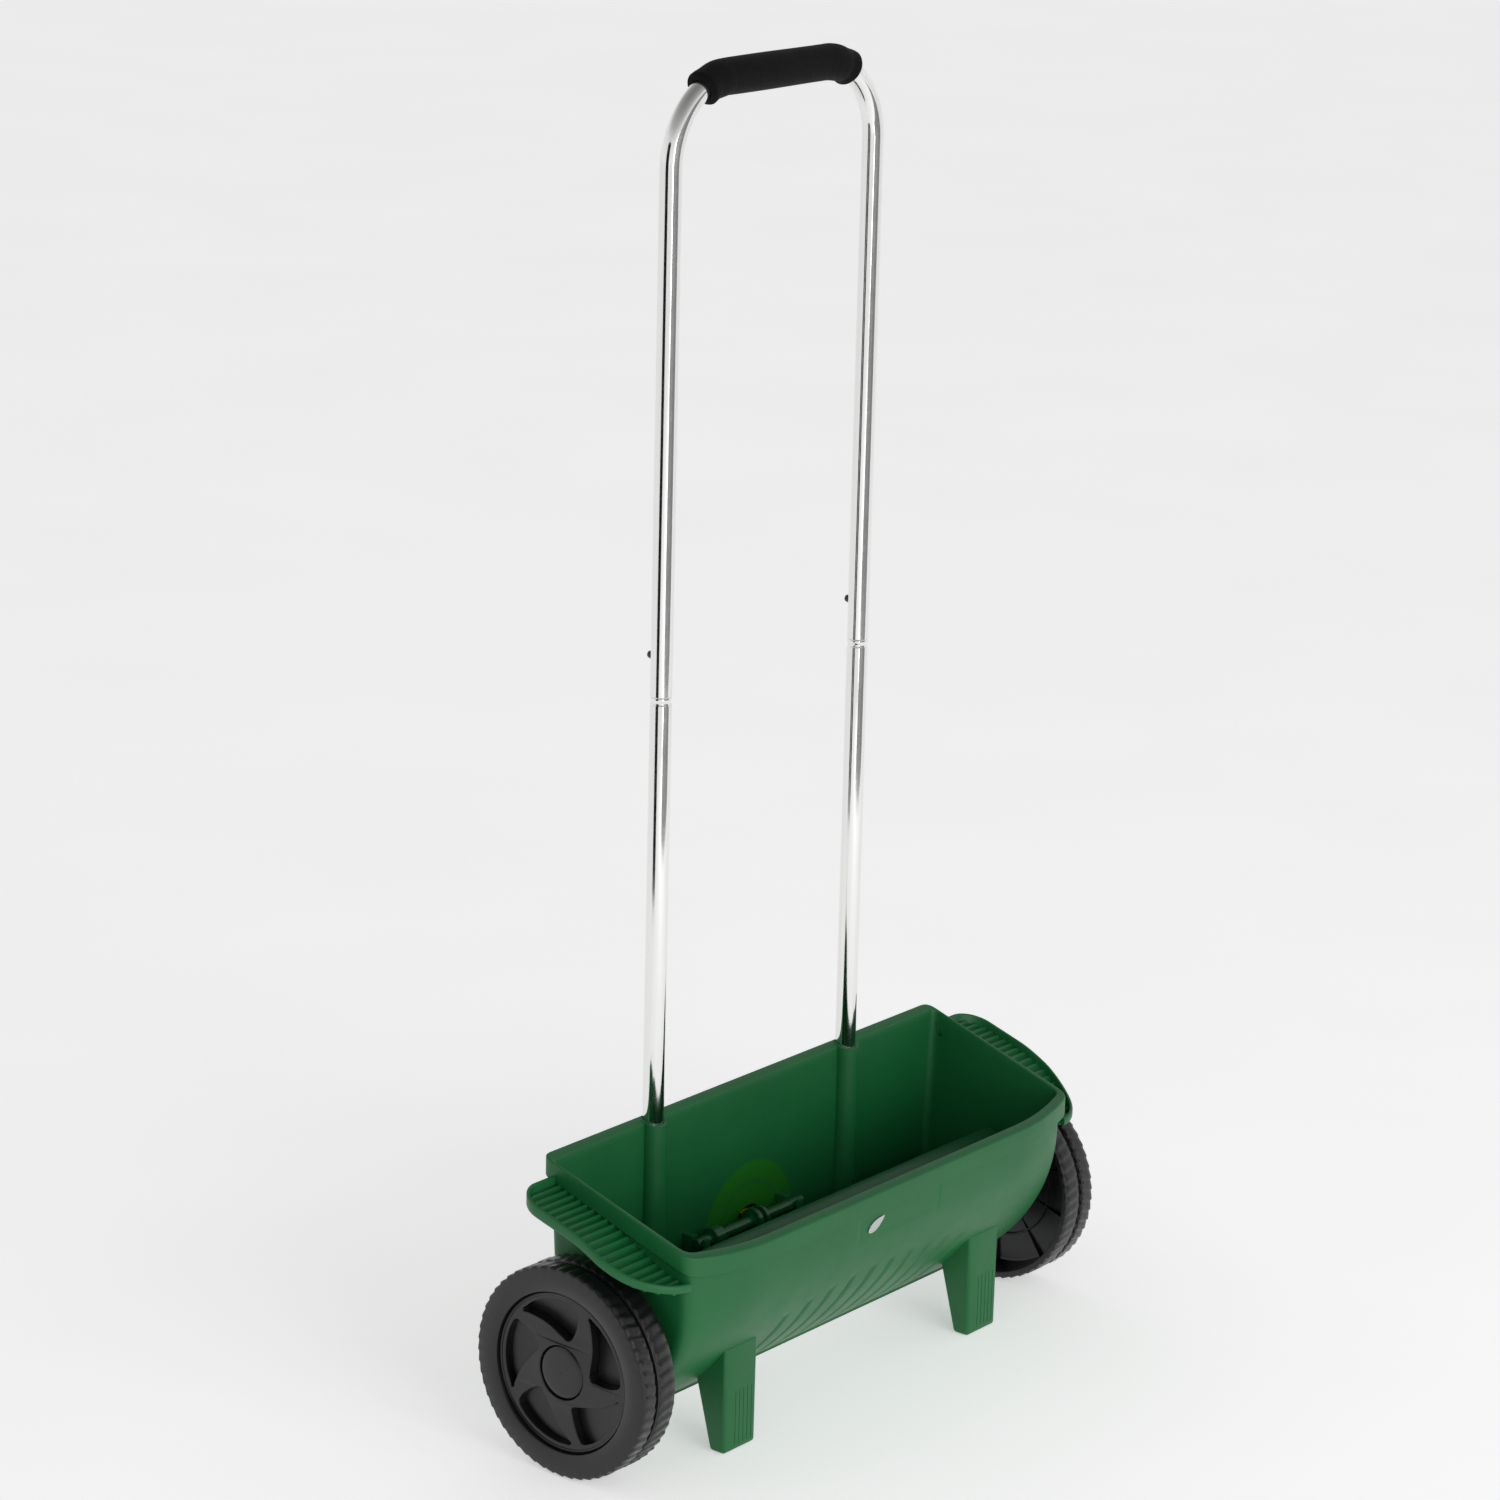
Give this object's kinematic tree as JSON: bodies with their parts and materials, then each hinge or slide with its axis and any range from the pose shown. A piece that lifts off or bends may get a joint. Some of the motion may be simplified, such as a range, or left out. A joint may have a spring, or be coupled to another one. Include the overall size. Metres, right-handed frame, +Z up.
{
  "type": "garden spreader",
  "caption": "Push-along garden drop spreader: an open plastic hopper on two wheels and front legs, with a flow dial, a slotted base, an agitator and a tall bright tube handle with a foam grip.",
  "frame": {"origin": "centre of the bounding box at the ground, under the hopper", "axes": "+X along the axle to the right as seen from the front, -Y towards the front wall and its legs, +Z up the handle"},
  "size_m": [0.55, 0.176, 0.9978],
  "materials": {
    "green_plastic": "satin moulded plastic",
    "dark_green_plastic": "glossy moulded plastic",
    "scale_plastic": "satin moulded plastic",
    "black_plastic": "satin moulded plastic",
    "wheel_plastic": "satin moulded plastic",
    "nylon": "smooth natural nylon",
    "zinc_steel": "zinc plated",
    "bright_tube": "bright polished",
    "coated_steel": "gloss coated",
    "foam": "soft matt foam",
    "badge_silver": "metallised plastic"
  },
  "bodies": {
    "frame": {"hopper": "green_plastic", "load_bar": "coated_steel", "dial_scale": "scale_plastic", "dial_washer": "zinc_steel", "outlet_plate": "green_plastic", "outlet_screw_1": "zinc_steel", "outlet_screw_2": "zinc_steel", "outlet_screw_3": "zinc_steel", "outlet_screw_4": "zinc_steel", "handle_upper_tube": "bright_tube", "foam_grip": "foam", "leaf_badge": "badge_silver", "axle_bush_left": "nylon", "wheel_washer_left": "zinc_steel", "handle_lower_tube_left": "bright_tube", "snap_spring_left": "zinc_steel", "tube_screw_left": "zinc_steel", "axle_bush_right": "nylon", "wheel_washer_right": "zinc_steel", "handle_lower_tube_right": "bright_tube", "snap_spring_right": "zinc_steel", "tube_screw_right": "zinc_steel"},
    "drive_axle": {"axle": "zinc_steel", "agitator": "black_plastic", "agitator_pin": "zinc_steel", "drive_pin": "zinc_steel", "wheel_left": "wheel_plastic", "hub_cap_left": "wheel_plastic", "axle_clip_left": "zinc_steel", "axle_clip_right": "zinc_steel"},
    "right_wheel": {"wheel_right": "wheel_plastic", "hub_cap_right": "wheel_plastic"},
    "dial": {"flow_dial": "black_plastic", "dial_screw": "zinc_steel"},
    "shutter": {"flow_spindle": "dark_green_plastic", "shutter_plate": "black_plastic"},
    "left_button": {"snap_button_left": "black_plastic"},
    "right_button": {"snap_button_right": "black_plastic"}
  },
  "joints": [
    {"name": "drive_axle_spin", "type": "hinge", "parent": "frame", "child": "drive_axle", "pos_m": [0, 0.008, 0.08], "axis": [1, 0, 0], "continuous": true},
    {"name": "right_wheel_spin", "type": "hinge", "parent": "frame", "child": "right_wheel", "pos_m": [0.2575, 0.008, 0.08], "axis": [1, 0, 0], "continuous": true},
    {"name": "dial_turn", "type": "hinge", "parent": "frame", "child": "dial", "pos_m": [0, 0.066, 0.0995], "axis": [0, 1, 0], "range_deg": [0, 80]},
    {"name": "shutter_slide", "type": "slide", "parent": "frame", "child": "shutter", "axis": [1, 0, 0], "range_m": [0, 0.02]},
    {"name": "left_button_press", "type": "slide", "parent": "frame", "child": "left_button", "axis": [0, -1, 0], "range_m": [0, 0.006], "stiffness_N_per_m": 800, "springref_m": -0.002, "deforming": ["snap_spring_left"]},
    {"name": "right_button_press", "type": "slide", "parent": "frame", "child": "right_button", "axis": [0, -1, 0], "range_m": [0, 0.006], "stiffness_N_per_m": 800, "springref_m": -0.002, "deforming": ["snap_spring_right"]}
  ],
  "couplings": [
    {"joint": "shutter_slide", "follows": "dial_turn", "m_per_rad": 0.01427}
  ]
}
